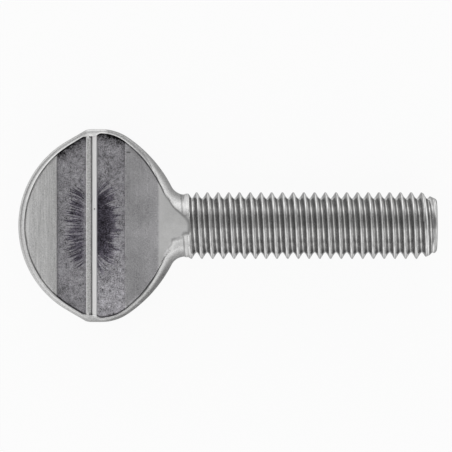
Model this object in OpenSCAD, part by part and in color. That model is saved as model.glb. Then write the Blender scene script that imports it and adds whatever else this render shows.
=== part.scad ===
// Spade-head thumb screw, M8 x 1.25, forged in one piece, lying on its side.
// X runs along the screw towards its tip, with X = 0 where the shank leaves the head.
// The thread's axis is the X axis, and +Z is up. All lengths are in millimetres.

/* [Thread] */
// Diameter over the thread's crests
thread_d = 7.78; // [7:0.01:9.6]
// Distance from one crest to the next
thread_pitch = 1.25; // [1:0.05:1.75]
// Length of the screw from under the head to its tip
screw_l = 30; // [12:0.5:80]
// Place of the first crest from under the head
first_crest_x = 1.64; // [1.2:0.01:3]
// Width of the flat on a crest
crest_flat = 0.16; // [0.08:0.01:0.25]
// Width of the flat at the bottom of a groove
groove_flat = 0.16; // [0.05:0.01:0.3]
// Angle between the two sides of a groove
thread_angle = 60; // [50:1:70]
// Share of its full depth that the first groove has, where the thread runs out
runout_depth = 0.45; // [0.2:0.05:1]
// Length of the tapered lead-in at the tip
lead_in_l = 1.8; // [0.8:0.1:4]
// How far the lead-in comes down from the crests to the tip
lead_in_drop = 0.74; // [0.3:0.02:1.2]
// Width of the bevel round the flat face at the tip
tip_bevel = 0.15; // [0.05:0.05:0.4]

/* [Neck] */
// How far the plain neck between head and thread lies below the crests
neck_drop = 0.21; // [0.1:0.01:0.4]
// Radius of the hollow curve from the neck to the head, seen from the front
neck_fillet_r = 1.7; // [1:0.1:3]
// Distance past the head's end at which that curve reaches the neck
neck_fillet_x = 0.63; // [0.4:0.01:1.1]
// How fast the neck's round spreads beyond the outline as it nears the head
neck_spread = 0.06; // [0.03:0.01:0.2]

/* [Head outline] */
// Length of the head along the screw
head_l = 18.7; // [15:0.1:26]
// Width of the head across the screw
head_w = 22.4; // [19:0.1:28]
// Radius of the arc round the head's far end
end_r = 11.35; // [8:0.05:12]
// Distance from the neck to the blunt corners at the ends of the rib
corner_x = 10.4; // [9.6:0.05:11.5]
// Radius of those corners
corner_r = 0.9; // [0.3:0.05:2]
// Distance from the neck to the start of the round shoulders
shoulder_x = 9.05; // [8:0.05:9.4]
// Radius of the shoulders
shoulder_r = 5.6; // [4:0.05:7]
// Radius of the long flanks between the shoulders and the neck
flank_r = 15.4; // [11:0.1:24]

/* [Head thickness] */
// Thickness of the head over its rim at the far end
end_t = 3; // [2.4:0.1:5]
// Thickness of the head over its rim at the heel, where the faces turn up to the shank
heel_t = 5.6; // [4.6:0.1:6.6]
// Distance from the neck to the heel
heel_x = 2.35; // [1.8:0.05:4]
// Distance past the neck at which the faces run out into the round shank
face_runout_x = 1.3; // [0.8:0.05:1.6]

/* [Rim] */
// Width of the rim at the far end
rim_end_w = 0.74; // [0.5:0.02:1.2]
// Width of the rim beside the rib
rim_mid_w = 0.5; // [0.4:0.02:1]
// Width of the rim at the neck
rim_neck_w = 1.05; // [0.6:0.02:1.4]
// Width that the rim gains in the pads at the ends of the rib
pad_w = 0.34; // [0:0.02:0.6]
// Half the length of a pad along the rim
pad_reach = 0.75; // [0.4:0.05:1.5]
// Rounding of the rim's outer edge
rim_outer_r = 0.42; // [0.1:0.02:0.46]
// Rounding of the rim's inner edge
rim_inner_r = 0.1; // [0.04:0.02:0.2]

/* [Faces and rib] */
// Depth of the coined flats below the rim
flat_depth = 0.12; // [0.05:0.01:0.4]
// Depth of the channel beside the rib
channel_inner_depth = 0.24; // [0.1:0.01:0.6]
// Depth of the channel at its two far edges
channel_outer_depth = 0.48; // [0.2:0.01:0.9]
// Distance from the neck to the channel's far edge
channel_far_x = 14.1; // [12:0.1:15.5]
// Distance from the neck to the channel's near edge
channel_near_x = 6.2; // [4.5:0.1:8]
// Run of the sloped walls between the channel and the flats
channel_wall = 0.12; // [0.02:0.01:0.4]
// Distance from the neck to the rib's near side
rib_x = 9.54; // [9:0.02:10]
// Width of the rib's ridge, which is as high as the rim
ridge_w = 0.56; // [0.2:0.02:1]
// Width of the fine groove beside the ridge
groove_w = 0.1; // [0.04:0.02:0.3]
// Depth of the fine groove below the rim
groove_depth = 0.3; // [0.15:0.01:0.5]
// Width of the rib's lower ledge
ledge_w = 0.54; // [0.2:0.02:1]
// Depth of the ledge below the rim
ledge_depth = 0.12; // [0.02:0.01:0.3]
// Run of the small bevels on the rib's sides
rib_bevel = 0.06; // [0.02:0.01:0.15]

/* [Hidden] */
$fn = 96;
metal = [0.72, 0.72, 0.71];
// How far the head's narrow end lies inside the plain neck that it runs into
neck_sink = 0.05;
// Half the least height that the rim's side keeps
edge_land = 0.1;

thread_r = thread_d / 2;
neck_r = thread_r - neck_drop;
half_w = head_w / 2;
flank_run = (thread_pitch - crest_flat - groove_flat) / 2;
root_r = thread_r - flank_run / tan(thread_angle / 2);
crest_count = floor((screw_l - first_crest_x) / thread_pitch) + 1;

// Centres of the circles that make the outline's upper half. Each circle touches its neighbours.
fillet_c = [neck_fillet_x, neck_r - neck_sink + neck_fillet_r];
shoulder_c = [-shoulder_x, half_w - shoulder_r];
corner_c = [-corner_x, half_w - corner_r];
end_c = [end_r - head_l, 0];
flank_c = circles_meet(shoulder_c, flank_r - shoulder_r, fillet_c, flank_r + neck_fillet_r);

// Directions, seen from a circle's centre, at which two of the outline's circles touch
fillet_a = direction(flank_c - fillet_c) + 360;
neck_flank_a = direction(fillet_c - flank_c);
shoulder_a = direction(shoulder_c - flank_c);
end_a = direction(corner_c - end_c) + acos((end_r - corner_r) / norm(corner_c - end_c));

// Point of the upper half-plane that lies ra from a and rb from b, on the side away from the outline
function circles_meet(a, ra, b, rb) =
    let (gap = norm(b - a))
    let (along = (ra * ra - rb * rb + gap * gap) / (2 * gap))
    let (across = sqrt(ra * ra - along * along))
    let (u = (b - a) / gap)
    a + along * u + across * [u[1], -u[0]];

function direction(v) = atan2(v[1], v[0]);

// Stations along an arc, without its first point, where the arc before it ends. Each station is
// [x, y, the outward normal's x, its y], and side is -1 on a hollow arc.
function arc(centre, r, from, to, steps, side = 1) = [
    for (i = [1:steps])
        let (a = from + (to - from) * i / steps)
        [centre[0] + r * cos(a), centre[1] + r * sin(a), side * cos(a), side * sin(a)]
];

function mirrored(s) = [s[0], -s[1], s[2], -s[3]];

upper_stations = concat(
    [[neck_fillet_x, neck_r - neck_sink, 0, 1]],
    arc(fillet_c, neck_fillet_r, 270, fillet_a, 7, -1),
    arc(flank_c, flank_r, neck_flank_a, shoulder_a, 9),
    arc(shoulder_c, shoulder_r, shoulder_a, 90, 7),
    [[-corner_x, half_w, 0, 1]],
    arc(corner_c, corner_r, 90, end_a, 3),
    [[end_c[0] + end_r * cos(end_a), end_r * sin(end_a), cos(end_a), sin(end_a)]],
    arc(end_c, end_r, end_a, 180, 13)
);
stations = concat(upper_stations, [for (i = [len(upper_stations) - 2:-1:0]) mirrored(upper_stations[i])]);

// Half the outline's width at x, near the neck
flank_start_x = fillet_c[0] + neck_fillet_r * cos(fillet_a);
function half_width(x) = x > flank_start_x
    ? fillet_c[1] - sqrt(max(pow(neck_fillet_r, 2) - pow(x - fillet_c[0], 2), 0))
    : flank_c[1] + sqrt(max(pow(flank_r, 2) - pow(x - flank_c[0], 2), 0));

// Height of the rim's top above the middle plane at x, as a shallow wedge with a steeper heel
function rim_z(x) = x < -heel_x
    ? end_t / 2 + (heel_t - end_t) / 2 * (x + head_l) / (head_l - heel_x)
    : heel_t / 2 + (neck_r + flat_depth - heel_t / 2) * (x + heel_x) / (heel_x + face_runout_x);

// Width of the rim at x, with a pad where the rib meets it
rib_mid_x = rib_x + (ridge_w + groove_w + ledge_w) / 2;
function pad(x) = pad_w * exp(-pow((x + rib_mid_x) / pad_reach, 4));
function rim_w(x) = pad(x) + (x < -rib_mid_x
    ? rim_mid_w + (rim_end_w - rim_mid_w) * (-x - rib_mid_x) / (head_l - rib_mid_x)
    : rim_mid_w + (rim_neck_w - rim_mid_w) * pow(1 + x / rib_mid_x, 1.5));

// Upper half of the rim's section, as [inset from the outline, drop below the rim's top]
function section(w) = concat(
    [for (a = [0:22.5:90]) [rim_outer_r * (1 - cos(a)), rim_outer_r * (1 - sin(a))]],
    [for (a = [0:45:90]) [w - rim_inner_r * (1 - sin(a)), rim_inner_r * (1 - cos(a))]]
);

// Radius of the round that the head is kept within where it narrows to the neck
function neck_round_r(x) = half_width(x) + neck_spread * pow(neck_fillet_x - x, 2);
neck_round_end_x = -0.4 * shoulder_x;

// Point of the rim at station s. Beside the neck it keeps under the neck's round.
function rim_point(s, inset, drop) =
    let (x = s[0] - s[2] * inset)
    let (y = s[1] - s[3] * inset)
    let (z = rim_z(x) - drop)
    let (round_z = x < neck_round_end_x ? z : sqrt(max(pow(neck_round_r(x), 2) - y * y, 0)))
    [x, y, max(min(z, round_z), edge_land)];

function rim_ring(s) =
    let (upper = [for (p = section(rim_w(min(s[0], 0)))) rim_point(s, p[0], p[1])])
    concat(upper, [for (i = [len(upper) - 1:-1:0]) [upper[i][0], upper[i][1], -upper[i][2]]]);

// Rounded rim, carried round the head's outline from one side of the neck to the other
module rim() {
    rings = [for (s = stations) rim_ring(s)];
    per_ring = len(rings[0]);
    last = len(rings) - 1;
    polyhedron(
        points = [for (ring = rings) for (p = ring) p],
        faces = concat(
            [[for (i = [per_ring - 1:-1:0]) i]],
            [[for (i = [0:per_ring - 1]) last * per_ring + i]],
            [
                for (r = [0:last - 1])
                    for (i = [0:per_ring - 1])
                        for (flip = [0, 1])
                            let (j = (i + 1) % per_ring)
                            let (a = r * per_ring + i)
                            let (b = r * per_ring + j)
                            flip == 0 ? [a, b, a + per_ring] : [b, b + per_ring, a + per_ring]
            ]
        )
    );
}

// Web inside the rim, reaching to the middle of the rim's width. Beside the neck it is rounded off below the rim.
module web_blank() {
    edge = [for (s = stations) let (w = rim_w(min(s[0], 0)) / 2) [s[0] - s[2] * w, s[1] - s[3] * w]];
    steps = 12;
    span = neck_fillet_x - neck_round_end_x;
    round_edge = [for (i = [0:steps]) let (x = neck_round_end_x + i * span / steps) [neck_round_r(x) - flat_depth, x]];
    intersection() {
        linear_extrude(height = 2 * heel_t, center = true) polygon(edge);
        turned(concat([[0, -head_l], [head_w, -head_l], [head_w, neck_round_end_x]], round_edge, [[0, neck_fillet_x]]));
    }
}

// Upper edge of the side profile that both faces share, from the head's far end to past the tip
function face_z(x, depth) = [x, rim_z(x) - depth];
ledge_x = rib_x + ridge_w + groove_w;
rib_far_x = ledge_x + ledge_w;
upper_profile = [
    face_z(-head_l, flat_depth),
    face_z(-channel_far_x - channel_wall, flat_depth),
    face_z(-channel_far_x, channel_outer_depth),
    face_z(-rib_far_x - rib_bevel, channel_inner_depth),
    face_z(-rib_far_x, ledge_depth),
    face_z(-ledge_x, ledge_depth),
    face_z(-ledge_x + groove_w / 2, groove_depth),
    face_z(-rib_x - ridge_w, rib_bevel),
    face_z(-rib_x - ridge_w + rib_bevel, 0),
    face_z(-rib_x - rib_bevel, 0),
    face_z(-rib_x, rib_bevel),
    face_z(-rib_x + rib_bevel, channel_inner_depth),
    face_z(-channel_near_x - channel_wall, channel_outer_depth),
    face_z(-channel_near_x, flat_depth),
    face_z(-heel_x, flat_depth),
    face_z(face_runout_x, flat_depth),
    [face_runout_x, head_w],
    [screw_l + 1, head_w]
];

// Everything between the two faces: the flats, the channel and the rib all run straight across the head
module between_faces() {
    lower_profile = [for (i = [len(upper_profile) - 1:-1:0]) [upper_profile[i][0], -upper_profile[i][1]]];
    rotate([90, 0, 0])
        linear_extrude(height = 2 * head_w, center = true)
            polygon(concat(upper_profile, lower_profile));
}

// One ridge of the thread as [radius, x]: up from the groove, over the crest and down again
function ridge(i) =
    let (x = first_crest_x + i * thread_pitch)
    let (start_r = i == 0 ? thread_r - (thread_r - root_r) * runout_depth : root_r)
    let (start_run = (thread_r - start_r) * tan(thread_angle / 2))
    [
        [start_r, x - crest_flat / 2 - start_run],
        [thread_r, x - crest_flat / 2],
        [thread_r, x + crest_flat / 2],
        [root_r, x + crest_flat / 2 + flank_run]
    ];

shank_buried_x = 1.5 * heel_x;
module threaded_shank() {
    ridges = [for (i = [0:crest_count]) each ridge(i)];
    groove_start_x = ridges[0][1] - groove_flat - (neck_r - ridges[0][0]);
    neck = [
        [0, -shank_buried_x],
        [neck_r, -shank_buried_x],
        [neck_r, groove_start_x],
        [ridges[0][0], ridges[0][1] - groove_flat]
    ];
    end_x = ridges[len(ridges) - 1][1];
    intersection() {
        turned(concat(neck, ridges, [[0, end_x]]));
        turned([
            [0, -shank_buried_x],
            [thread_r, -shank_buried_x],
            [thread_r, screw_l - lead_in_l],
            [thread_r - lead_in_drop, screw_l - tip_bevel],
            [thread_r - lead_in_drop - tip_bevel, screw_l],
            [0, screw_l]
        ]);
    }
}

// Solid turned round the screw's axis, from its half profile of [radius, x] points
module turned(profile) {
    rotate([90, 0, 90]) rotate_extrude() polygon(profile);
}

// The round thread can't hold the head level, so the screw lies rolled over until its rim touches too.
// This is the roll at which the rounded edge at station s comes down as low as the thread.
function touch_roll(s) =
    let (y = s[1] - s[3] * rim_outer_r)
    let (z = rim_z(s[0] - s[2] * rim_outer_r) - rim_outer_r)
    asin((thread_r - rim_outer_r) / norm([y, z])) - atan(z / y);
rest_roll = min([for (s = upper_stations) if (s[1] > thread_r + rim_outer_r) touch_roll(s)]);

module thumb_screw() {
    color(metal) rotate([rest_roll, 0, 0]) {
        intersection() {
            union() {
                web_blank();
                threaded_shank();
            }
            between_faces();
        }
        rim();
    }
}

thumb_screw();
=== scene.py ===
# %% [markdown]
# # Spade-head thumb screw
#
# The real screw is one piece of steel. A bar is squeezed flat at one end between two dies, which leave
# a raised rim, a cross rib and smooth coined flats, and the other end is rolled between two plates that
# press the thread into it. The solid that comes with this script has its sizes, with rings in place of
# the thread's helix. This lesson makes one closed surface over the same sizes: the head as a row of
# rings that widen and narrow, and the shank as the same rings, sheared so that they follow the helix.
#
# All the shape work is in millimetres, with X along the screw to its tip and the head's face level. At
# the end everything is rolled over onto the floor and turned into metres.

import math

import bpy
import numpy as np
from mathutils import Matrix, Vector


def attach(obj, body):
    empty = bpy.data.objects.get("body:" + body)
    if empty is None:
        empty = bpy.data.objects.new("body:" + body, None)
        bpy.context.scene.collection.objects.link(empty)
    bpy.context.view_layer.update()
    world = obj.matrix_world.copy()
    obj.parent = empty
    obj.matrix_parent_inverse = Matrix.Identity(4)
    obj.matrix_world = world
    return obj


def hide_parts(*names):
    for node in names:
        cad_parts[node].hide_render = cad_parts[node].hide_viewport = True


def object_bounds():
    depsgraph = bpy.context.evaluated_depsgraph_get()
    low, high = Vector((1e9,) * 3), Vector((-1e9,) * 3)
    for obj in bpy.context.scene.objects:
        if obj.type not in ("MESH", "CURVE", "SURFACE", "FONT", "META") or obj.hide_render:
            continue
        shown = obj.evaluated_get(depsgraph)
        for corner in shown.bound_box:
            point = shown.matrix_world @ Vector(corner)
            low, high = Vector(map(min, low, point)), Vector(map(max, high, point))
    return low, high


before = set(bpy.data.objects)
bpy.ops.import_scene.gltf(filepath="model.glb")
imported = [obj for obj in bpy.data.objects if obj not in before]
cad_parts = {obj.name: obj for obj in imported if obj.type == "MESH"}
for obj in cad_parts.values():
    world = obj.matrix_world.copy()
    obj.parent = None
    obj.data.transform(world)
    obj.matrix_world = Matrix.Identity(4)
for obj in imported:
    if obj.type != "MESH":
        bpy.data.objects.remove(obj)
cad_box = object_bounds()
print("solid's box", [[round(c * 1000, 2) for c in corner] for corner in cad_box], "mm")

# %% [markdown]
# ## Sizes
# The sizes repeat the solid's own, so that the surface and the solid agree wherever they are measured.

# %% Sizes of the thread, neck and head
# The thread: its pitch, crest and root radius, its end, and the x of one crest on the +Y side.
PITCH = 1.25
THREAD_R = 3.89
ROOT_R = 3.085
SCREW_L = 30.0
TOP_CREST_X = 14.53
# The tip's tapered lead-in and its small bevel, then the round neck that the head grows out of.
LEAD_IN_L, LEAD_IN_DROP, TIP_BEVEL = 1.8, 0.74, 0.15
NECK_R, NECK_X = 3.68, 0.63
# The head: its length, half its width, its thickness at both ends, and where its faces run out.
HEAD_L, HALF_W = 18.7, 11.2
END_T, HEEL_T, HEEL_X, RUNOUT_X = 3.0, 5.6, 2.35, 1.3
# How far the coined flats lie below the rim's top, and how far the resting screw is rolled over.
FLAT_DEPTH = 0.12
REST_ROLL = math.radians(8.195)
# A length that stands for "nowhere near", because it is longer than any depth or height here.
FAR = 9.0
print("thread depth", round(THREAD_R - ROOT_R, 3), "mm, head", HEAD_L, "x", 2 * HALF_W, "mm")

# %% [markdown]
# ## The outline
# Seen from the front, the head is a chain of circular arcs that touch each other: a hollow curve out of
# the neck, a long flank, a round shoulder, a small blunt corner at the end of the rib, and the arc of
# the far end. It could be drawn as one freehand curve, but arcs keep the forged look of straight,
# deliberate curves with small corners. A table of close points along them is all that the later steps
# need.

# %% Outline of the head's upper half
HOLLOW_R, FLANK_R, SHOULDER_R, CORNER_R, END_R = 1.7, 15.4, 5.6, 0.9, 11.35
POINTS_PER_DEGREE_MM = 2
WIDEST_X = -9.0


def arc(centre, radius, start, end, side=1):
    """Points at centre + radius * (cos a, sin a), for angles a from start to end in degrees, each with
    its outward normal (cos a, sin a), which side turns round on a hollow curve."""
    steps = max(int(abs(end - start) * radius * POINTS_PER_DEGREE_MM), 3)
    a = np.radians(np.linspace(start, end, steps))
    px, py = centre[0] + radius * np.cos(a), centre[1] + radius * np.sin(a)
    return np.stack([px, py, side * np.cos(a), side * np.sin(a)], 1)


outline = np.concatenate([
    arc((NECK_X, NECK_R - 0.05 + HOLLOW_R), HOLLOW_R, 270, 207.229, -1),
    arc((-14.575, -2.494), FLANK_R, 27.229, 55.682),
    arc((-9.05, 5.6), SHOULDER_R, 55.682, 90),
    arc((-10.4, 10.3), CORNER_R, 90, 119.887),
    arc((END_R - HEAD_L, 0), END_R, 119.887, 180),
])
outline_s = np.concatenate([[0], np.cumsum(np.hypot(*np.diff(outline[:, :2], axis=0).T))])


def along(column, s):
    """One column of the outline's table (x, y, normal x, normal y) at the distances s along it."""
    return np.interp(s, outline_s, outline[:, column])


def half_width(x):
    """Half the outline's width at x, on the neck's side of the widest place."""
    neck_side = slice(0, np.searchsorted(-outline[:, 0], -WIDEST_X))
    return np.interp(-x, -outline[neck_side, 0], outline[neck_side, 1])


print("outline", len(outline), "points,", round(2 * outline_s[-1], 1), "mm round")

# %% [markdown]
# ## Heights across the head
# The dies close at an angle, so the head is a thin wedge that turns up steeply at the heel, where it
# runs out into the round shank. Its faces have a profile that depends on x alone, because the coined
# flats, the channel and the rib all run straight across. The rim is measured from the outline instead:
# its height depends on the distance in from the edge. Nothing forged is quite even, so slow sines of
# random phase make the edges of the rim and of the tongue on the neck wander a little.

# %% Height of the rim's top, its width and the profile of the faces
RIB_MID = -10.14
RIM_W_END, RIM_W_RIB, RIM_W_NECK = 0.74, 0.5, 1.35
PAD_W, PAD_HALF_L = 0.34, 0.75


def rim_z(x):
    """Wedge from half the end thickness to half the heel thickness, then a steeper line to the neck."""
    return np.interp(x, [-HEAD_L, -HEEL_X, RUNOUT_X], [END_T / 2, HEEL_T / 2, NECK_R + FLAT_DEPTH])


def wander(s, seed, size, length):
    """Slow, seeded waviness: a sum of sines of random phase, with wavelengths from length downwards."""
    rng = np.random.default_rng(seed)
    waves = [(k, rng.uniform(0, 2 * np.pi), rng.uniform(0.5, 1) / k) for k in (1, 1.7, 2.9, 4.3)]
    return size * sum(a * np.sin(2 * np.pi * k * s / length + p) for k, p, a in waves)


def rim_width(x):
    """Linear from the far end's width to the rib's, a power curve on to the neck's, and a pad
    PAD_W * exp(-(distance from the rib / PAD_HALF_L)^4) where the rib meets the rim."""
    x = np.minimum(x, 0)
    to_end = RIM_W_RIB + (RIM_W_END - RIM_W_RIB) * (RIB_MID - x) / (HEAD_L + RIB_MID)
    to_neck = RIM_W_RIB + (RIM_W_NECK - RIM_W_RIB) * np.maximum(1 - x / RIB_MID, 0) ** 2.2
    return np.where(x < RIB_MID, to_end, to_neck) + PAD_W * np.exp(-(((x - RIB_MID) / PAD_HALF_L) ** 4))


profile_x, profile_depth = np.array([
    (-HEAD_L, 0.12), (-14.24, 0.12), (-14.20, 0.13), (-14.18, 0.46), (-14.03, 0.475),
    (-10.86, 0.245), (-10.80, 0.22), (-10.76, 0.13), (-10.71, 0.11), (-10.30, 0.125),
    (-10.22, 0.14), (-10.18, 0.3), (-10.12, 0.3), (-10.09, 0.1), (-10.02, 0.0),
    (-9.82, -0.02), (-9.61, 0.0), (-9.54, 0.07), (-9.48, 0.23), (-9.42, 0.245),
    (-6.36, 0.475), (-6.30, 0.46), (-6.28, 0.16), (-6.20, 0.12), (RUNOUT_X, 0.12),
]).T


def face_depth(x):
    """Depth of the face below the rim's top at x, read off the profile's corner points."""
    return np.interp(x, profile_x, profile_depth)


print("rim", round(float(rim_z(-HEAD_L)), 2), "to", round(float(rim_z(-HEEL_X)), 2), "mm above the middle")

# %% [markdown]
# The rim itself is a bead. Its outer side is well rounded, more so beside the neck, its top is a narrow
# land close to the inner edge, and at its foot the die has left a fine groove, which shows, darkened by
# painted shade, as the dark line inside the bright rim.

# %% Section of the rim
INNER_ROUND, LAND_AND_ROUND = 0.12, 0.16
WALL_RUN, FOOT_RUN = 0.02, 0.16
GROOVE_DEPTH = 0.09


def outer_round(x):
    """Width and height of the bead's outer rounding, which grow from the far end towards the neck."""
    t = np.clip((x + 9.5) / 7.5, 0, 1) ** 1.5
    return 0.44 + 0.38 * t, 0.42 + 0.5 * t


def rim_drop(inset, x, width, depth):
    """Drop below the rim's top at a distance in from the outline: an elliptic quarter, a land, a small
    inner rounding, a steep wall down to the foot groove and then the face."""
    across, down = outer_round(x)
    across = np.minimum(across, width - LAND_AND_ROUND)
    outer = down * (1 - np.sqrt(1 - np.clip(1 - inset / across, 0, 1) ** 2))
    wall_top = np.clip(depth, 0, INNER_ROUND)
    rounding = np.clip((inset - width + INNER_ROUND) / INNER_ROUND, 0, 1)
    inner = wall_top * (1 - np.sqrt(1 - rounding**2))
    groove = GROOVE_DEPTH * np.clip((depth - 0.04) / 0.06, 0, 1)
    past = inset - width
    wall = np.interp(past, [0, WALL_RUN], [0, 1]) * (depth + groove - wall_top) + wall_top
    foot = depth + groove * (1 - np.clip((past - 0.08) / 0.07, 0, 1))
    return np.where(past < 0, outer + inner, np.where(past < WALL_RUN + 0.01, wall, foot))


print("rim", round(float(rim_width(-HEAD_L)), 2), "to", round(float(rim_width(0)), 2), "mm wide")

# %% [markdown]
# ## The thread
# A rolled thread has flanks at 60 degrees, narrow worn crests and rounded roots. On a real screw one
# ridge winds along the shank, so its radius depends on x and on the angle together: going once round
# moves the whole profile on by one pitch. Near the head the groove runs out, and at the tip a cone cuts
# the crests down. Rings alone would be simpler, but the slant of the crests is what makes a thread look
# like one.

# %% Radius of the threaded shank
HALF_CREST = 0.08
CREST_BLEND, ROOT_BLEND = 0.1, 0.4
NECK_FADE_X, NECK_FADE_L = 0.5, 1.1


def soft_min(a, b, blend):
    """Lower of a and b, rounded off where they come within blend of each other."""
    h = np.clip(blend - np.abs(a - b), 0, None) / blend
    return np.minimum(a, b) - h * h * blend / 4


def ease(t):
    """Goes from 0 to 1 as t does, level at both ends: 3 t^2 - 2 t^3, and t is held between them."""
    t = np.clip(t, 0, 1)
    return t * t * (3 - 2 * t)


def envelope(x):
    """Largest radius at x: plain neck, crests, lead-in cone."""
    neck = NECK_R + (THREAD_R - NECK_R) * ease((x - NECK_FADE_X) / NECK_FADE_L)
    cone = np.interp(x, [SCREW_L - LEAD_IN_L, SCREW_L - TIP_BEVEL], [0, LEAD_IN_DROP])
    return neck - cone


def shank_radius(x, turn):
    """Distance d from the nearest crest along x, after taking off one pitch a turn, gives a flank
    THREAD_R - (d - HALF_CREST) / tan 30, kept between the crest and the rounded root. What it takes
    off the envelope counts from nothing on the neck to all of it 1.5 mm along."""
    phase = (x - TOP_CREST_X) / PITCH - turn
    d = np.abs((phase + 0.5) % 1 - 0.5) * PITCH
    flank = THREAD_R - (d - HALF_CREST) / math.tan(math.radians(30))
    ridge = soft_min(flank, np.full_like(flank, THREAD_R), CREST_BLEND)
    ridge = -soft_min(-ridge, np.full_like(flank, -ROOT_R), ROOT_BLEND)
    cut = np.interp(x, [-0.3, 0.3, 0.9, 1.2, 1.5], [0, 0.04, 0.07, 0.5, 1])
    full = envelope(x)
    return full - cut * np.maximum(full - ridge, 0)


root_here = float(shank_radius(np.array(TOP_CREST_X + PITCH / 2), np.array(0.0)))
print("crest", THREAD_R, "root", round(root_here, 3), "mm")

# %% [markdown]
# ## Where head and shank meet
# Squeezing the bar spreads it sideways, so between the neck and the head a cross-section is an ellipse
# that gets wider while its height hardly changes. The faces cut a flat into it that narrows like a
# tongue and ends beside the first groove.


# %% Height of the front surface of head and neck
def neck_z(x, y):
    """Height of the spreading ellipse: half_width(x) across, and NECK_R high up to 1 mm from the neck,
    then more by the distance squared. The lower side was squeezed a little flatter there."""
    tall = NECK_R + 0.36 * np.maximum(-1 - x, 0) ** 2
    tall = tall - 0.24 * np.exp(-(((x + 0.9) / 0.8) ** 2)) * np.clip(-y / 1.5, 0, 1)
    return tall * np.sqrt(np.clip(1 - (y / np.maximum(half_width(x), np.abs(y))) ** 2, 0, 1))


def coined(x, y):
    """Height of the flat beside the neck, slightly uneven as the dies left it."""
    return rim_z(x) - FLAT_DEPTH + 0.006 * np.sin(3.1 * x + 2.3 * y) * np.sin(2.2 * x - 3.7 * y + 1)


def front_z(x, y, inset):
    """Rim and face heights, held under the ellipse more and more between 4.2 mm from the neck and 2,
    and from 1.5 mm on replaced by the ellipse and the flat alone."""
    width = rim_width(x) + wander(x + 3 * y, seed=5, size=0.012, length=9)
    z = rim_z(x) - rim_drop(inset, x, width, face_depth(x))
    z = z + (soft_min(neck_z(x, y), z, 0.1) - z) * ease((x + 4.2) / 2.2)
    return z + (np.minimum(neck_z(x, y), coined(x, y)) - z) * ease((x + 1.5) / 0.9)


middle_flat = float(front_z(np.array(-4.0), np.array(0.0), np.array(FAR)))
print("face", round(middle_flat, 2), "mm above the middle, 4 mm from the neck")

# %% [markdown]
# ## The head as rings
# Each ring goes once round the head: in over the rim on one side, straight across the face, out over the
# other rim, and back behind. The rings are placed so that their straight parts fall on the creases of
# the faces, which keeps the rib's edges sharp with few faces. At the far end a ring closes to nothing.

# %% Where the rings cross the face
RIM_COLUMNS, FACE_COLUMNS = 14, 52
COLUMNS = 2 * RIM_COLUMNS + FACE_COLUMNS
# Each stretch between two creases, as its first x, its last x and its number of rings.
STRETCHES = (
    (-14.24, -14.20, 1), (-14.20, -14.18, 1), (-14.18, -14.0, 4), (-14.0, -10.9, 15),
    (-10.9, -9.38, 44), (-9.38, -6.4, 15), (-6.4, -6.30, 3), (-6.30, -6.28, 1),
    (-6.28, -6.16, 4), (-6.16, -2.6, 17), (-2.6, -2.1, 4), (-2.1, NECK_X, 32),
)

table_s = np.linspace(0, outline_s[-1], 6000)
table_foot = along(0, table_s) - along(2, table_s) * (rim_width(along(0, table_s)) + FOOT_RUN)
table_foot = np.minimum.accumulate(table_foot)

far_foot = table_foot[-1]
to_first_crease = (STRETCHES[0][0] - far_foot) * (1 - np.cos(np.linspace(0, np.pi / 2, 36)))
ring_x = np.concatenate(
    [far_foot + to_first_crease] + [np.linspace(a, b, n + 1)[1:] for a, b, n in STRETCHES]
)
ring_s = np.interp(-ring_x, -table_foot, table_s)
ring_s[-1] = 0
print(len(ring_x), "rings from x", round(ring_x[0], 2), "to", round(ring_x[-1], 2), "mm")

# %% [markdown]
# Over the rim a point's place comes from its distance in from the outline, and over the face the points
# are spread evenly. Towards the neck both give way to even angles, as on a turned bar, so that the head
# meets the shank point by point.

# %% Points of the rings, seen from the front
TURNED_X = -1.7
edge_x, edge_y, normal_x, normal_y = (along(column, ring_s)[:, None] for column in range(4))
reach = rim_width(edge_x) + FOOT_RUN
rounded = np.minimum(outer_round(edge_x)[0], reach - FOOT_RUN - LAND_AND_ROUND)
quarter = 1 - np.cos(np.radians(np.array([0, 12, 25, 38, 52, 66, 80, 90])))
past_land = np.array([-INNER_ROUND, -0.04, 0, 0.025, 0.08])
insets = np.concatenate([0 * reach, rounded * quarter, reach - FOOT_RUN + past_land], axis=1)
foot_x, foot_y = edge_x - normal_x * reach, np.maximum(edge_y - normal_y * reach, 0)
foot_x[:, 0], foot_y[0] = ring_x, 0

upper_y = edge_y - normal_y * insets
face_y = foot_y * np.linspace(1, -1, FACE_COLUMNS)
forged_y = np.concatenate([upper_y, face_y, -upper_y[:, ::-1]], axis=1)
turned_y = edge_y * np.cos(np.linspace(0, np.pi, COLUMNS))
turned = ease((edge_x - TURNED_X) / (NECK_X - TURNED_X))
front_y = forged_y + (turned_y - forged_y) * turned
print("points in front", front_y.shape, "reaching", round(front_y.max(), 2), "mm to each side")

# %% Distance in from the outline, x and height of those points
EDGE_HALF_H = 0.1
forged_inset = np.concatenate(
    [insets, np.full((len(ring_x), FACE_COLUMNS), FAR), insets[:, ::-1]], axis=1
)
forged_x = np.where(forged_inset < FAR, edge_x - normal_x * forged_inset, foot_x)
turned_inset = (edge_y - np.abs(front_y)) / np.maximum(normal_y, 1e-3)
turned_inset = np.where(np.abs(front_y) > foot_y, turned_inset, FAR)
turned_x = np.where(turned_inset < FAR, edge_x - normal_x * np.minimum(turned_inset, reach), foot_x)

inset = np.where(turned == 0, forged_inset, turned_inset)
front_x = np.where(turned == 0, forged_x, turned_x)
front_height = front_z(front_x, front_y, inset)
front_height[:, [0, -1]] = EDGE_HALF_H * (1 - turned)
print("heights", round(front_height.min(), 2), "to", round(front_height.max(), 2), "mm")

# %% [markdown]
# Beside the neck the first, shallow turn of the groove already shows on the round part, so the same
# radius function takes a little off there before the flat is cut.

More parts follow.
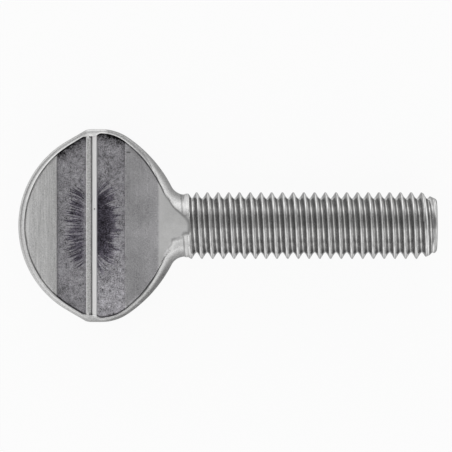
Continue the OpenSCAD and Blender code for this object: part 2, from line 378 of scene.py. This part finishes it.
# %% Run-out groove on the neck, and the head's full rings
turn = np.arctan2(front_height, front_y) / (2 * np.pi)
flat_here = coined(front_x, front_y)
near_neck = np.clip((front_x + 0.5) / 0.6, 0, 1) * (front_height < flat_here - 0.01)
scale = 1 - near_neck * (1 - shank_radius(front_x, turn) / envelope(front_x))
front_y = front_y * scale
front_height = np.minimum(front_height * scale, flat_here + FAR * (front_x < TURNED_X))

head = np.stack([
    np.concatenate([front_x, front_x[:, ::-1]], 1),
    np.concatenate([front_y, front_y[:, ::-1]], 1),
    np.concatenate([front_height, -front_height[:, ::-1]], 1),
], axis=2)
print("head rings", head.shape)

# %% [markdown]
# ## The shank as sheared rings
# Rows of points follow the helix: a row starts at some x and moves on by one pitch in a full turn, so it
# stays on its crest, flank or root all the way and the crests come out clean. Where a row would leave
# the thread at either end, it is held at the last x, and those points fall together on one level ring.

# %% Rings of the shank
# Places of the rows within a pitch, from one crest to the next.
row_steps = np.array([0, 0.05, 0.09, 0.17, 0.29, 0.41, 0.51, 0.625, 0.74, 0.84, 0.96, 1.08, 1.16, 1.20])
tip_x = SCREW_L - TIP_BEVEL
first_turn = math.floor((NECK_X - TOP_CREST_X) / PITCH) - 1
last_turn = math.ceil((tip_x - TOP_CREST_X) / PITCH)
crest_x = TOP_CREST_X + np.arange(first_turn, last_turn + 1) * PITCH
rows = (crest_x[:, None] + row_steps).ravel()
half_turn = np.linspace(0, 0.5, COLUMNS)
turns = np.concatenate([half_turn, 0.5 + half_turn])[None, :]


def shank_rings(x):
    """Points (x, R cos a, R sin a) with R from the thread, and the two coined flats cut into them."""
    radius = shank_radius(x, turns + 0 * x)
    y, z = radius * np.cos(2 * np.pi * turns), radius * np.sin(2 * np.pi * turns)
    flat = np.where(x < RUNOUT_X + 0.3, coined(x, y), FAR)
    return np.stack([x, y, np.clip(z, -flat, flat)], axis=2)


shank = shank_rings(np.clip(rows[:, None] + PITCH * turns, NECK_X, tip_x))
head[-1] = shank[0]
print("shank rows", shank.shape, "first crests at", crest_x[2:5].round(2), "mm")

# %% [markdown]
# The tip is closed by the shank's last ring, drawn in over the small bevel and then flat to the middle.

# %% Rings of the tip
# Each ring's x, and its share of the bevel's inner radius.
TIP_RINGS = ((SCREW_L - 0.04, 1.012), (SCREW_L, 0.99), (SCREW_L, 0.66), (SCREW_L, 0.33), (SCREW_L, 0))
last_ring = shank[-1]
last_radius = np.hypot(last_ring[:, 1], last_ring[:, 2])
to_bevel = (last_radius.min() - TIP_BEVEL) / last_radius
tip_rings = [last_ring]
for ring_end_x, share in TIP_RINGS:
    ring = last_ring * (to_bevel * share)[:, None]
    ring[:, 0] = ring_end_x
    tip_rings.append(ring)
tip = np.stack(tip_rings)
print("tip", tip.shape, "flat", round(2 * 0.99 * (last_radius.min() - TIP_BEVEL), 2), "mm across")

# %% [markdown]
# ## One closed mesh
# The three grids meet on shared rings. Points that fall on the same place are made one, triangles that
# have shrunk to nothing are dropped, and what is left is a closed skin. Its volume, from the sum of the
# triple products of its corners, is positive when the faces point outwards.

# %% Join the grids
MERGE_STEPS_PER_MM = 1e4


def grid_triangles(rings, columns, start, closed):
    """Two triangles for every cell between neighbouring rings and columns."""
    i = np.arange(rings * columns).reshape(rings, columns) + start
    if closed:
        i = np.concatenate([i, i[:, :1]], axis=1)
    a, b, c, d = i[:-1, :-1], i[:-1, 1:], i[1:, 1:], i[1:, :-1]
    return np.concatenate([np.stack([a, b, c], -1).reshape(-1, 3), np.stack([a, c, d], -1).reshape(-1, 3)])


def joined(grids):
    """Merged points, triangles and volume of grids given as (points, whether the last column meets the
    first). Points are one where they round to the same ten-thousandth of a millimetre."""
    points = np.concatenate([g.reshape(-1, 3) for g, _ in grids])
    triangles, start = [], 0
    for g, closed in grids:
        triangles.append(grid_triangles(g.shape[0], g.shape[1], start, closed))
        start += g.shape[0] * g.shape[1]
    triangles = np.concatenate(triangles)
    places = np.round(points * MERGE_STEPS_PER_MM).astype(np.int64)
    _, keep, index = np.unique(places, axis=0, return_index=True, return_inverse=True)
    points, triangles = points[keep], index.reshape(-1)[triangles]
    a, b, c = triangles.T
    triangles = triangles[(a != b) & (b != c) & (c != a)]
    p, q, r = (points[triangles[:, k]] for k in range(3))
    volume = np.einsum("ij,ij->i", p, np.cross(q, r)).sum() / 6
    return points, triangles if volume > 0 else triangles[:, ::-1], abs(volume)


points, triangles, volume = joined([(head, True), (shank, False), (tip, False)])
edges = np.sort(np.concatenate([triangles[:, [0, 1]], triangles[:, [1, 2]], triangles[:, [2, 0]]]), axis=1)
_, uses = np.unique(edges, axis=0, return_counts=True)
print(len(points), "points,", len(triangles), "triangles,", round(volume, 1), "mm3")
print("open edges", int((uses != 2).sum()))

# %% [markdown]
# ## Marks on the points
# The shader needs to know a few things that only the shape knows. They could be painted by hand, but
# here they are worked out for every point and stored with the mesh as attributes. The first ones say
# where the bright rim and the rib's ridge are, how far across the rim a point is, where the rim's foot
# groove runs for its painted shade, and where the painted shadow of the upper rim falls on the face below
# it.


# %% Marks of the rim, the ridge and the foot groove
def distance_in(x, y):
    """Distance in from the outline: the least of the distances to 700 points along it."""
    s = np.linspace(0, outline_s[-1], 700)
    ox, oy = along(0, s), along(1, s)
    best = np.full(x.shape, 99.0)
    for part in np.array_split(np.arange(len(s)), 20):
        d = np.hypot(x[:, None] - ox[part], np.abs(y)[:, None] - oy[part]).min(axis=1)
        best = np.minimum(best, d)
    return best


point_x, point_y, point_z = points.T
in_head = point_x < NECK_X
from_edge = np.full(len(points), FAR)
from_edge[in_head] = distance_in(point_x[in_head], point_y[in_head])
width_here = rim_width(point_x)
past_rim = from_edge - width_here
rim_mark = np.clip((0.03 - past_rim) / 0.05, 0, 1) * in_head
ridge_mark = np.interp(point_x, [-10.10, -10.04, -9.52, -9.47], [0, 1, 1, 0]) * (past_rim > -0.2) * in_head
across_mark = np.where(ridge_mark > 0.5, 1.2, np.clip(from_edge / width_here, 0, 1))
# Painted shade in the rim's foot groove, as a narrow dark line.
foot_groove_shade = np.clip(1 - np.abs(past_rim - 0.06) / 0.07, 0, 1) * in_head * (point_x < -0.9)
# Painted shadow of the upper rim on the face below it, on the upper side only.
upper_side = np.clip((point_y - 6.5) / 1.5, 0, 1) * in_head
rim_shadow_mark = np.clip(1 - (past_rim - 0.05) / 1.3, 0, 1) ** 1.5 * upper_side
print("rim points", int((rim_mark > 0.5).sum()), "foot points", int((foot_groove_shade > 0.5).sum()))

# %% [markdown]
# On the neck the round steel is bright, and a thin dark line with a ragged course is painted round the
# edge of the tongue of the flat. The flat itself is marked too, because it ends among the first
# turns of the thread and keeps its own colour there.

# %% Marks of the neck and the tongue
below_flat = coined(point_x, point_y) - np.abs(point_z)
neck_mark = np.clip((point_x + 1.4) / 0.8, 0, 1) * np.clip(below_flat / 0.05 - 0.6, 0, 1)
neck_mark = 0.6 * neck_mark * np.clip((1.35 - point_x) / 0.3, 0, 1)
bright_mark = np.clip(np.maximum(np.maximum(rim_mark, ridge_mark), neck_mark), 0, 1)
ragged = wander(point_x + 0.7 * point_y, seed=8, size=0.035, length=1.6)
from_tongue = np.abs(neck_z(point_x, point_y) - coined(point_x, point_y) - ragged)
tongue_line = np.clip(1.25 - from_tongue / 0.1, 0, 1) * (point_x > -1.3) * (point_x < 1.6)
tongue_line = tongue_line * (below_flat > -0.03) * (below_flat < 0.2)
tongue_mark = np.clip(1.3 - np.abs(below_flat) / 0.03, 0, 1) * (point_x < 1.7)
print("tongue line points", int((tongue_line > 0.5).sum()))

# %% [markdown]
# Along the thread, what counts is the place within a pitch. The crest and the root each carry a line of
# painted highlight, the crest's as 1 and the root's as a half of that, and a third mark says which flank
# a point is on, for a painted light on the flank that looks to the head: 1 on that one and 0 on the one
# that looks to the tip.

# %% Marks along the thread
turn_here = np.arctan2(point_z, point_y) / (2 * np.pi)
past_crest = ((point_x - TOP_CREST_X) / PITCH - turn_here + 0.5) % 1 - 0.5
# Painted highlight lines just past the crest and just past the root.
crest_highlight = np.clip((0.115 - np.abs(past_crest - 0.055)) / 0.06, 0, 1)
root_highlight = np.clip((0.12 - np.abs((past_crest - 0.56 + 0.5) % 1 - 0.5)) / 0.05, 0, 1)
thread_highlights = np.where(in_head, 0, crest_highlight + 0.5 * root_highlight)
# Painted light on the flank that looks to the head, none on the one that looks to the tip.
lean_places = [-0.5, -0.42, -0.3, -0.1, 0, 0.2, 0.35, 0.45, 0.5]
flank_light_mark = np.interp(past_crest, lean_places, [0.5, 0.8, 1, 1, 0.6, 0.2, 0, 0, 0.5])
# Painted shade along the first, shallow groove beside the neck.
first_groove_shade = np.interp(point_x, [-0.1, 0.4, 1.5, 1.9], [0, 1, 1, 0]) * (below_flat > 0.01)
first_groove_shade = first_groove_shade * np.clip(1.4 - np.abs(past_crest % 1 - 0.5) / 0.07, 0, 1)
# One mark for the painted shade of both grooves and for the dark line round the tongue.
groove_shade_and_tongue_line = np.maximum(np.maximum(foot_groove_shade, 0.62 * tongue_line), 0.75 * first_groove_shade)
marks = {
    "bright": bright_mark, "foot": groove_shade_and_tongue_line, "crest": thread_highlights, "rim_across": across_mark,
    "under_rim": rim_shadow_mark, "lean": flank_light_mark, "tongue": tongue_mark,
}
print("crest points", int((thread_highlights > 0.9).sum()), "and", len(marks), "marks in all")

# %% [markdown]
# ## Into the scene
# The points are rolled over as the screw lies, turned into metres and put into the mesh in bulk, so the
# object itself stays at the origin. Edges over 38 degrees stay sharp, such as those of the rib, and the
# rest is shaded smooth. The piece stands for the solid's one node.

# %% Put the screw into the scene
SHARP_ANGLE = math.radians(38)
roll = np.array(Matrix.Rotation(REST_ROLL, 3, "X"))
placed = points @ roll.T
mesh = bpy.data.meshes.new("dressed_thumb_screw")
mesh.vertices.add(len(points))
mesh.vertices.foreach_set("co", (placed / 1000).astype(np.float32).ravel())
mesh.loops.add(3 * len(triangles))
mesh.loops.foreach_set("vertex_index", triangles.astype(np.int32).ravel())
mesh.polygons.add(len(triangles))
mesh.polygons.foreach_set("loop_start", np.arange(0, 3 * len(triangles), 3, dtype=np.int32))
mesh.update(calc_edges=True)
mesh.validate()
for name, values in marks.items():
    mesh.attributes.new(name, "FLOAT", "POINT").data.foreach_set("value", values.astype(np.float32))
mesh.shade_smooth()
mesh.set_sharp_from_angle(angle=SHARP_ANGLE)
screw = bpy.data.objects.new("dressed_thumb_screw", mesh)
bpy.context.collection.objects.link(screw)
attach(screw, "root")
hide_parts("thumb_screw")
print("screw from", placed.min(0).round(2), "to", placed.max(0).round(2), "mm")

# %% [markdown]
# ## Shader maths as Python
# Node trees are easier to read as formulas. A small class wraps a node's output socket, and an expression
# on it adds the Math nodes. Every other kind of node comes from one method, which takes the node's type,
# its settings and its inputs.


# %% Socket wrapper
class Signal:
    """One output socket of a node tree."""

    def __init__(self, tree, socket):
        self.tree, self.socket = tree, socket

    def node(self, kind, settings=None, sockets=None, out=0):
        """Adds a node: settings first (a ramp's stops as (place, colour) pairs), then values or links."""
        made = self.tree.nodes.new(kind)
        for key, value in (settings or {}).items():
            if key == "stops":
                while len(made.color_ramp.elements) < len(value):
                    made.color_ramp.elements.new(0.5)
                for element, (place, colour) in zip(made.color_ramp.elements, value):
                    element.position, element.color = place, colour
            else:
                setattr(made, key, value)
        for key, value in (sockets or {}).items():
            if isinstance(value, Signal):
                self.tree.links.new(value.socket, made.inputs[key])
            else:
                made.inputs[key].default_value = value
        return Signal(self.tree, made.outputs[out])

    def math(self, operation, *values):
        """Math node on the values given, which are numbers or signals."""
        return self.node("ShaderNodeMath", {"operation": operation}, dict(enumerate(values)))

    def __add__(self, other):
        return self.math("ADD", self, other)

    def __sub__(self, other):
        return self.math("SUBTRACT", self, other)

    def __rsub__(self, other):
        return self.math("SUBTRACT", other, self)

    def __mul__(self, other):
        return self.math("MULTIPLY", self, other)

    def __truediv__(self, other):
        return self.math("DIVIDE", self, other)

    def __rtruediv__(self, other):
        return self.math("DIVIDE", other, self)

    def __pow__(self, other):
        return self.math("POWER", self, other)

    def __abs__(self):
        return self.math("ABSOLUTE", self)

    __radd__, __rmul__ = __add__, __mul__

    def step(self, start, end):
        """0 where this is at start, 1 at end, and smooth between. The ends may be either way round."""
        return self.node("ShaderNodeMapRange", {"interpolation_type": "SMOOTHSTEP", "clamp": True},
                         {"Value": self, "From Min": start, "From Max": end})

    def swing(self, amount):
        """How far this noise is from its middle value of a half, times amount."""
        return (self - 0.5) * amount

    def ramp(self, *stops):
        """Grey ramp through (place, grey) pairs."""
        greys = [(place, (grey, grey, grey, 1)) for place, grey in stops]
        return self.node("ShaderNodeValToRGB", {"stops": greys}, {"Fac": self})

    def vector(self, second, third):
        """Vector with this as its first number."""
        return self.node("ShaderNodeCombineXYZ", None, {"X": self, "Y": second, "Z": third})

    def noise(self, scale, detail, roughness, stretch=(1, 1, 1), shift=0.0):
        """Fractal noise from 0 to 1 on this vector, with its own stretch and shift."""
        placed = self.node("ShaderNodeMapping", None,
                           {"Vector": self, "Scale": stretch, "Location": (shift, shift / 3, -shift)})
        return self.node("ShaderNodeTexNoise", {"noise_dimensions": "3D"},
                         {"Vector": placed, "Scale": scale, "Detail": detail, "Roughness": roughness})

    def tint(self, colour_a, colour_b):
        """Colour mix from colour_a to colour_b as this goes from 0 to 1."""
        return self.node("ShaderNodeMix", {"data_type": "RGBA"}, {0: self, 6: colour_a, 7: colour_b}, out=2)


def material(name):
    """New node material: itself, its shader node and a first Signal to build from."""
    made = bpy.data.materials.new(name)
    made.use_nodes = True
    shader = made.node_tree.nodes["Principled BSDF"]
    return made, shader, Signal(made.node_tree, None)


def plug(signal, shader, name):
    """Links a signal to the shader's socket of that name."""
    signal.tree.links.new(signal.socket, shader.inputs[name])


print("shader helpers ready")

# %% [markdown]
# ## The steel
# The metal is one steel with many states: brushed at the far end, matt and mottled in the channel with a
# dark burst of stain round the rib, smooth on the flats, bright on the rim, the rib's ridge and the
# crests, where painted highlights add to it. They are all parts of one surface, so one material is mixed
# from masks. The face's own x and y, level and in millimetres, come from object coordinates turned back
# by the roll.

# %% Coordinates and masks
steel, steel_shader, steel_nodes = material("bright_steel")
object_place = steel_nodes.node("ShaderNodeTexCoord", out=3)
flat_place = steel_nodes.node("ShaderNodeMapping", None, {
    "Vector": object_place, "Rotation": (-REST_ROLL, 0, 0), "Scale": (1000, 1000, 1000)})
split = steel_nodes.node("ShaderNodeSeparateXYZ", None, {"Vector": flat_place})
at_x, at_y, at_z = (Signal(steel_nodes.tree, split.socket.node.outputs[k]) for k in range(3))
bright, foot, crest, rim_across, under_rim, lean, tongue = (
    steel_nodes.node("ShaderNodeAttribute", {"attribute_name": name}, out=2) for name in marks
)
channel = at_x.step(-14.22, -14.08) * at_x.step(-6.2, -6.34)
end_flat = 1 - at_x.step(-14.3, -14.1)
heel_flat = at_x.step(-2.5, -2.2)
on_shank = at_x.step(0.6, 1.1) * (1 - bright * at_x.step(1.5, 1.1)) * (1 - tongue)
print("masks over", round(HEAD_L + SCREW_L, 1), "mm of screw")

# %% [markdown]
# ### The stain
# Something has crept out from under the rib and dried in the channel in fine dark spikes, as a flower of
# needles. A plain noise mask would give a cloud. Here the spikes follow curves that leave the rib square
# on and spread apart: y divided by a small power of the distance from the rib stays the same along each
# of them, so noise on that number alone makes streaks, and the stain ends further out along some than
# others. Its whole outline is an oval with full corners. Only the front is stained.

# %% Burst of spikes beside the rib
STAIN_X, STAIN_Y = -9.95, 0.1
STAIN_HALF_H = 5.3
STAIN_FULLNESS = 3.2

# The vector's second number lets a streak change slowly on its way out, and its third one keeps the
# two sides of the rib, and the two noises, apart.
away = abs(at_x - STAIN_X)
near_side = at_x.step(-10.1, -9.8)
streamline = (at_y + 0.25) / ((away + 0.25) ** 0.3)
half_w = near_side * -0.1 + 3.0
across_oval, up_oval = away / half_w, abs(at_y - STAIN_Y) / STAIN_HALF_H
oval = ((across_oval ** STAIN_FULLNESS) + (up_oval ** STAIN_FULLNESS)) ** (1 / STAIN_FULLNESS)
side_seed = near_side * 43.0
streaks = streamline.vector(away * 0.05, side_seed).noise(2.6, 2.0, 0.6)
fine_streaks = streamline.vector(away * 0.05, side_seed + 7.0).noise(8.0, 2.0, 0.6)
reach_out = streaks.swing(1.0) + fine_streaks.swing(1.3) + 0.9
burst = (reach_out - oval).step(-0.03, 0.07)
core = (1 - oval).step(0.08, 0.5)
hair = (fine_streaks * 0.7 + streaks * 0.3).step(0.44, 0.54)
burst_near = burst * (core * 0.3 + 0.7)
burst_far = burst * (hair * 0.55 + 0.32) * away.step(0.8, 1.5)
front = at_z.step(-0.2, 0.2)
stain = (near_side * burst_near + (1 - near_side) * burst_far) * channel * front
print("stain about", 2 * STAIN_HALF_H, "mm long across the rib's middle")

# %% [markdown]
# ### Tones
# Polished steel returns about 60 percent of the light and stained or matt steel much less, so each state
# has its own tone of grey. Fine brush lines run across the head on the flats, and the channel is mottled
# and pitted, with a painted shadow as a darker crescent below the upper rim. The tones could be painted
# on an image, but formulas keep them sharp at any size. FACE_GAIN, further on, lifts all of the face at
# once, to make up for the dark patch of the tent that it faces.

# %% Noises that the tones share
# The stretch sets the noise's waves along x, y and z, and the shifts only keep the patterns apart.
brush = flat_place.noise(1.0, 4.0, 0.7, stretch=(5.5, 0.16, 0.16))
fine_brush = flat_place.noise(1.0, 2.0, 0.6, stretch=(16, 0.5, 0.5), shift=11.0)
blotch = flat_place.noise(0.35, 3.0, 0.5, shift=4.0)
mottle = flat_place.noise(1.7, 5.0, 0.72, shift=23.0)
grain = flat_place.noise(10.5, 2.0, 0.6, shift=31.0)
print("noises from 0.35 to 16 waves a millimetre")

# %% Tone of each part of the face
end_tone = ((at_x + 17.9) / 3.7).ramp((0, 0.56), (0.25, 0.46), (0.6, 0.44), (1, 0.39))
end_tone = end_tone * (1.14 + brush.swing(0.7) + fine_brush.swing(0.8) + grain.swing(1.5))
channel_tone = 0.245 + near_side * (at_y.step(2.0, -9.0) * 0.09)
pits = mottle.step(0.40, 0.28) * 0.2 + grain.step(0.36, 0.26) * 0.25
mottling = 1.08 + mottle.swing(2.6) + blotch.swing(0.5) + grain.swing(3.6)
# The darker crescent below the upper rim is painted shadow.
channel_tone = channel_tone * (mottling - pits - under_rim * 0.85)
mid_tone = ((at_x + 6.3) / 4.0).ramp((0, 0.265), (0.5, 0.285), (1, 0.34))
mid_lines = 1.17 + brush.swing(0.35) + fine_brush.swing(0.3)
mid_tone = mid_tone * (mid_lines + blotch.swing(0.9) + grain.swing(2.0))
heel_tone = 0.59 + blotch.swing(0.3) + grain.swing(0.25)
ledge = at_x.step(-10.82, -10.76) * at_x.step(-10.06, -10.16)
# The ledge's edge on the far end's side gets a painted highlight line.
ledge_tone = 0.47 + brush.swing(0.2) + grain.swing(1.2) + at_x.step(-10.64, -10.70) * 0.3
edge_line = at_x.step(-6.32, -6.26) * at_x.step(-6.12, -6.20) * grain.step(0.42, 0.55)
print("tones for the end flat, channel, middle flat, heel and ledge")

# %% Face in one tone
STAIN_DEPTH = 0.83
inside = 1 - channel
mid_flat = (inside - end_flat) * (1 - heel_flat)
face_tone = end_tone * end_flat + channel_tone * channel + mid_tone * mid_flat
face_tone = face_tone + heel_tone * heel_flat
face_tone = face_tone * (1 - ledge) + ledge_tone * ledge + edge_line * 0.14
face_tone = face_tone * (1 - stain * (STAIN_DEPTH - grain.swing(0.9)))
print("face mixed,", len(steel.node_tree.nodes), "nodes so far")

# %% [markdown]
# The rim gets a painted highlight that grows across its width towards its top, close to the inner edge,
# and the far half of it is polished more than the flanks. The ridge carries the brightest painted
# highlight of all, stronger on its side towards the neck. The pads at the ends of the rib were rubbed a
# little, and the upper one also has a painted highlight, while the lower rim's outer slope near the neck
# has painted shade. The foot groove gets painted shade, and a few small nicks are set where such a head
# gets knocked: each is an ellipse with a soft edge, on the front only.

# %% Rim, ridge, foot groove and nicks
# Each nick's x, y, half width, half height and depth of tone.
NICKS = (
    (-5.85, 8.5, 0.28, 0.1, 0.6), (-9.8, 1.93, 0.09, 0.12, 0.7), (-8.6, -8.6, 0.12, 0.1, 0.5),
    (-8.1, -10.35, 0.14, 0.1, 0.6), (-7.6, -10.2, 0.1, 0.12, 0.6),
)
FACE_GAIN, GROOVE_SHADE = 1.23, 0.72
# Painted highlight: lighter across the rim towards its top near the inner edge.
rim_tone = 0.41 + at_x.step(-9.0, -14.0) * 0.22 + rim_across.step(0.3, 0.85) * 0.34
# Painted highlight along the ridge, stronger on its side towards the neck.
ridge_highlight = rim_across.step(1.05, 1.15) * (0.42 + at_x.step(-9.85, -9.7) * 0.2)
rim_tone = rim_tone + ridge_highlight + grain.swing(1.0) + blotch.swing(0.1)
# Pads a little rubbed, with a painted highlight on the upper one; painted shade on the lower rim's outer
# slope.
pad = abs(at_x + 9.6).step(1.5, 0.9) * abs(at_y).step(10.0, 10.5) * abs(at_z).step(1.6, 2.0)
low_rim_shade = at_y.step(-3.0, -6.0) * at_x.step(-9.0, -7.0) * rim_across.step(0.85, 0.4)
rim_tone = rim_tone + pad * (0.05 + at_y.step(-1.0, 1.0) * 0.3) - low_rim_shade * 0.16
head_tone = face_tone * FACE_GAIN * (1 - bright) + rim_tone * bright
# Painted shade in the grooves, and the dark line round the tongue.
head_tone = head_tone * (1 - foot * GROOVE_SHADE)
for nick_x, nick_y, nick_w, nick_h, deep in NICKS:
    spot = ((((at_x - nick_x) / nick_w) ** 2.0) + (((at_y - nick_y) / nick_h) ** 2.0)).step(1.6, 0.3)
    head_tone = head_tone * (1 - spot * at_z.step(1.0, 1.5) * deep)
print("rim, ridge and", len(NICKS), "nicks")

# %% [markdown]
# A thread throws light back and forth between its flanks, so their own tone is kept low, with a painted
# light that makes the flank towards the head a little lighter. The root carries a painted highlight line
# of the highest tone, because the least light comes down to it, the crest a painted highlight line that
# comes next, and fine rolling lines run round the shank. The flat tip is plain.

# %% Thread
ring_lines = flat_place.noise(1.0, 3.0, 0.7, stretch=(11, 0.9, 0.9), shift=3.0)
# Painted light on the flank that looks to the head.
flank_tone = 0.18 + lean * 0.30
# Painted highlight lines on the root and the crest.
thread_tone = flank_tone + crest.ramp((0, 0), (0.5, 0.88), (1, 0.25))
thread_tone = thread_tone * (1 + ring_lines.swing(1.6) + grain.swing(0.8))
tip_face = at_x.step(29.8, 29.95)
thread_tone = thread_tone * (1 - tip_face) + tip_face * 0.42
tone = head_tone * (1 - on_shank) + thread_tone * on_shank
print("thread mixed,", len(steel.node_tree.nodes), "nodes so far")

# %% [markdown]
# ### Colour, gloss and relief
# The steel is a warm grey where it is bright, a cooler one in the channel and on the middle flat, and
# violet in the stain, so the tone is mixed from black to each of these. A bump of a few hundredths of a
# millimetre gives the grain its sparkle. The reflection at a glancing angle is toned down all over,
# because the worn crests and edges of the real screw stay grey there.

# %% Finish of the steel
BLACK, BRIGHT_GREY = (0, 0, 0, 1), (1.0, 0.997, 0.992, 1)
COOL_GREY, VIOLET_GREY = (0.985, 0.963, 1.02, 1), (1.04, 0.95, 1.2, 1)
cool = (channel + mid_flat * 0.5) * (1 - bright) * (1 - on_shank) * (1 - ledge)
colour = cool.tint(tone.tint(BLACK, BRIGHT_GREY), tone.tint(BLACK, COOL_GREY))
violet = stain * (1 - bright) * (1 - ledge)
colour = violet.tint(colour, tone.tint(BLACK, VIOLET_GREY))
rough = 0.36 + channel * 0.12 + stain * 0.1 - bright * 0.06 + grain.swing(0.12)
rough = rough * (1 - on_shank) + (0.15 + ring_lines.swing(0.1)) * on_shank
relief = (mottle * 0.6 + grain * 0.6) * channel * (1 - bright) + brush * 0.25 + grain * bright * 0.25
relief = relief * (1 - on_shank) + (ring_lines * 0.15 + grain * 0.1) * on_shank
bump = steel_nodes.node("ShaderNodeBump", None, {"Strength": 0.5, "Distance": 0.00003, "Height": relief})
plug(colour, steel_shader, "Base Color")
plug(rough, steel_shader, "Roughness")
plug(bump, steel_shader, "Normal")
steel_shader.inputs["Metallic"].default_value = 0.9
steel_shader.inputs["Specular Tint"].default_value = (0.45, 0.45, 0.45, 1)
mesh.materials.append(steel)
print("steel finished with", len(steel.node_tree.nodes), "nodes")

# %% [markdown]
# ## Floor
# The picture has a plain white ground. The floor is lit as paper, and where the camera or a reflection
# looks at it, it is mostly an even white of its own, so that the ground stays white under modest light
# and a faint shadow is left.

# %% Floor
FLOOR_HALF = 3
WHITE_SHARE = 0.92
floor_mesh = bpy.data.meshes.new("pale_floor")
corners = FLOOR_HALF * np.array([(-1, -1, 0), (1, -1, 0), (1, 1, 0), (-1, 1, 0)])
corners = corners + np.array([0, 0, cad_box[0].z])
floor_mesh.from_pydata(corners.tolist(), [], [(0, 1, 2, 3)])
floor = bpy.data.objects.new("pale_floor", floor_mesh)
bpy.context.collection.objects.link(floor)
floor_material, floor_shader, _ = material("pale_floor")
floor_shader.inputs["Base Color"].default_value = (0.96, 0.96, 0.96, 1)
floor_shader.inputs["Roughness"].default_value = 0.9
floor_shader.inputs["Specular IOR Level"].default_value = 0.0
paper = Signal(floor_material.node_tree, floor_shader.outputs[0])
ray = paper.node("ShaderNodeLightPath", out=0).socket.node.outputs
from_camera, from_gloss, through_glass = (
    Signal(paper.tree, ray[name]) for name in ("Is Camera Ray", "Is Glossy Ray", "Is Transmission Ray")
)
seen = paper.math("MAXIMUM", paper.math("MAXIMUM", from_camera, from_gloss), through_glass)
white = paper.node("ShaderNodeEmission", None, {"Color": (1, 1, 1, 1), "Strength": 1.0})
mixed = paper.node("ShaderNodeMixShader", None, {0: seen * WHITE_SHARE, 1: paper, 2: white})
paper.tree.links.new(mixed.socket, paper.tree.nodes["Material Output"].inputs["Surface"])
floor_mesh.materials.append(floor_material)
print("floor", 2 * FLOOR_HALF, "m wide at", round(cad_box[0].z * 1000, 2), "mm")

# %% [markdown]
# ## Light
# Product pictures of bright metal are made in a tent of white cloth, and what shows in the metal is the
# tent itself: white sides, and a darker patch overhead where the camera and the opening are. So the
# world is white, with a patch from straight above the face towards the far side, somewhat darker as it
# gets there. The tent's two ends are dimmed above the screw, and so is its low near side, which the
# lower edges of thread and rim look at. Each of these depends on the cosine between the direction
# looked in and one fixed direction. One weak, broad lamp from the far side gives the faint shadows
# under the rim.

# %% World
face_up = Vector((0, -math.sin(REST_ROLL), math.cos(REST_ROLL)))
photo_up = Vector((0, math.cos(REST_ROLL), math.sin(REST_ROLL)))
world = bpy.data.worlds.new("white_tent")
bpy.context.scene.world = world
world.use_nodes = True
sky = Signal(world.node_tree, None)
direction = sky.node("ShaderNodeTexCoord", out=0)


def toward(fixed):
    """Cosine between the direction looked in and a fixed direction."""
    return sky.node("ShaderNodeVectorMath", {"operation": "DOT_PRODUCT"},
                    {0: direction, 1: tuple(fixed)}, out=1)


overhead, far_side, along_screw = toward(face_up), toward(photo_up), toward((1, 0, 0))
patch = overhead.step(0.24, 0.58) * far_side.step(-0.21, -0.16)
patch_depth = 0.40 + far_side.step(0.03, 0.25) * 0.16
tent_ends = abs(along_screw).step(0.45, 0.85) * overhead.step(0.0, 0.3)
low_side = far_side.step(-0.72, -0.95)
level = 1.0 - patch * patch_depth - tent_ends * 0.3 - low_side * 0.45
background = world.node_tree.nodes["Background"]
plug(level, background, "Strength")
background.inputs["Color"].default_value = (1, 1, 1, 1)
print("world of", len(world.node_tree.nodes), "nodes")

# %% Lamp
LAMP_AIM = Vector((-0.005, 0, 0))
LAMP_AWAY, LAMP_HEIGHT = 0.3, math.radians(22)
lamp_data = bpy.data.lights.new("far_side_lamp", "AREA")
lamp_data.shape, lamp_data.size, lamp_data.size_y = "RECTANGLE", 0.40, 0.20
lamp_data.energy = 0.07
lamp = bpy.data.objects.new("far_side_lamp", lamp_data)
bpy.context.collection.objects.link(lamp)
lamp.location = LAMP_AIM + LAMP_AWAY * (photo_up * math.cos(LAMP_HEIGHT) + face_up * math.sin(LAMP_HEIGHT))
lamp.rotation_euler = (LAMP_AIM - lamp.location).to_track_quat("-Z", "Y").to_euler()
print("lamp of", round(lamp_data.energy, 2), "W,", LAMP_AWAY, "m away")

# %% [markdown]
# ## Camera
# The photo looks square on at the head's face from far off. The frame's width in metres comes from the
# photo's scale, and the lens from that width and the distance. The aim is the point that falls on the
# frame's middle, counted from where the screw's origin shows in the photo.

# %% Camera
FRAME_PIXELS, PIXELS_PER_METRE = 452, 8578
ORIGIN_ACROSS, ORIGIN_DOWN = 179.2, 225.6
DISTANCE, SENSOR_MM = 0.5, 36
middle = FRAME_PIXELS / 2
aim = Vector(((middle - ORIGIN_ACROSS) / PIXELS_PER_METRE, 0, 0))
aim = aim + photo_up * ((ORIGIN_DOWN - middle) / PIXELS_PER_METRE)
camera_data = bpy.data.cameras.new("camera")
camera_data.sensor_width = SENSOR_MM
camera_data.lens = SENSOR_MM * DISTANCE / (FRAME_PIXELS / PIXELS_PER_METRE)
camera_data.clip_end = 10
camera = bpy.data.objects.new("camera", camera_data)
bpy.context.collection.objects.link(camera)
camera_turn = Matrix((Vector((1, 0, 0)), photo_up, face_up)).transposed().to_4x4()
camera.matrix_world = Matrix.Translation(aim + face_up * DISTANCE) @ camera_turn
bpy.context.scene.camera = camera
bpy.context.scene.view_settings.view_transform = "Standard"
print("camera", DISTANCE, "m away, lens", round(camera_data.lens), "mm")
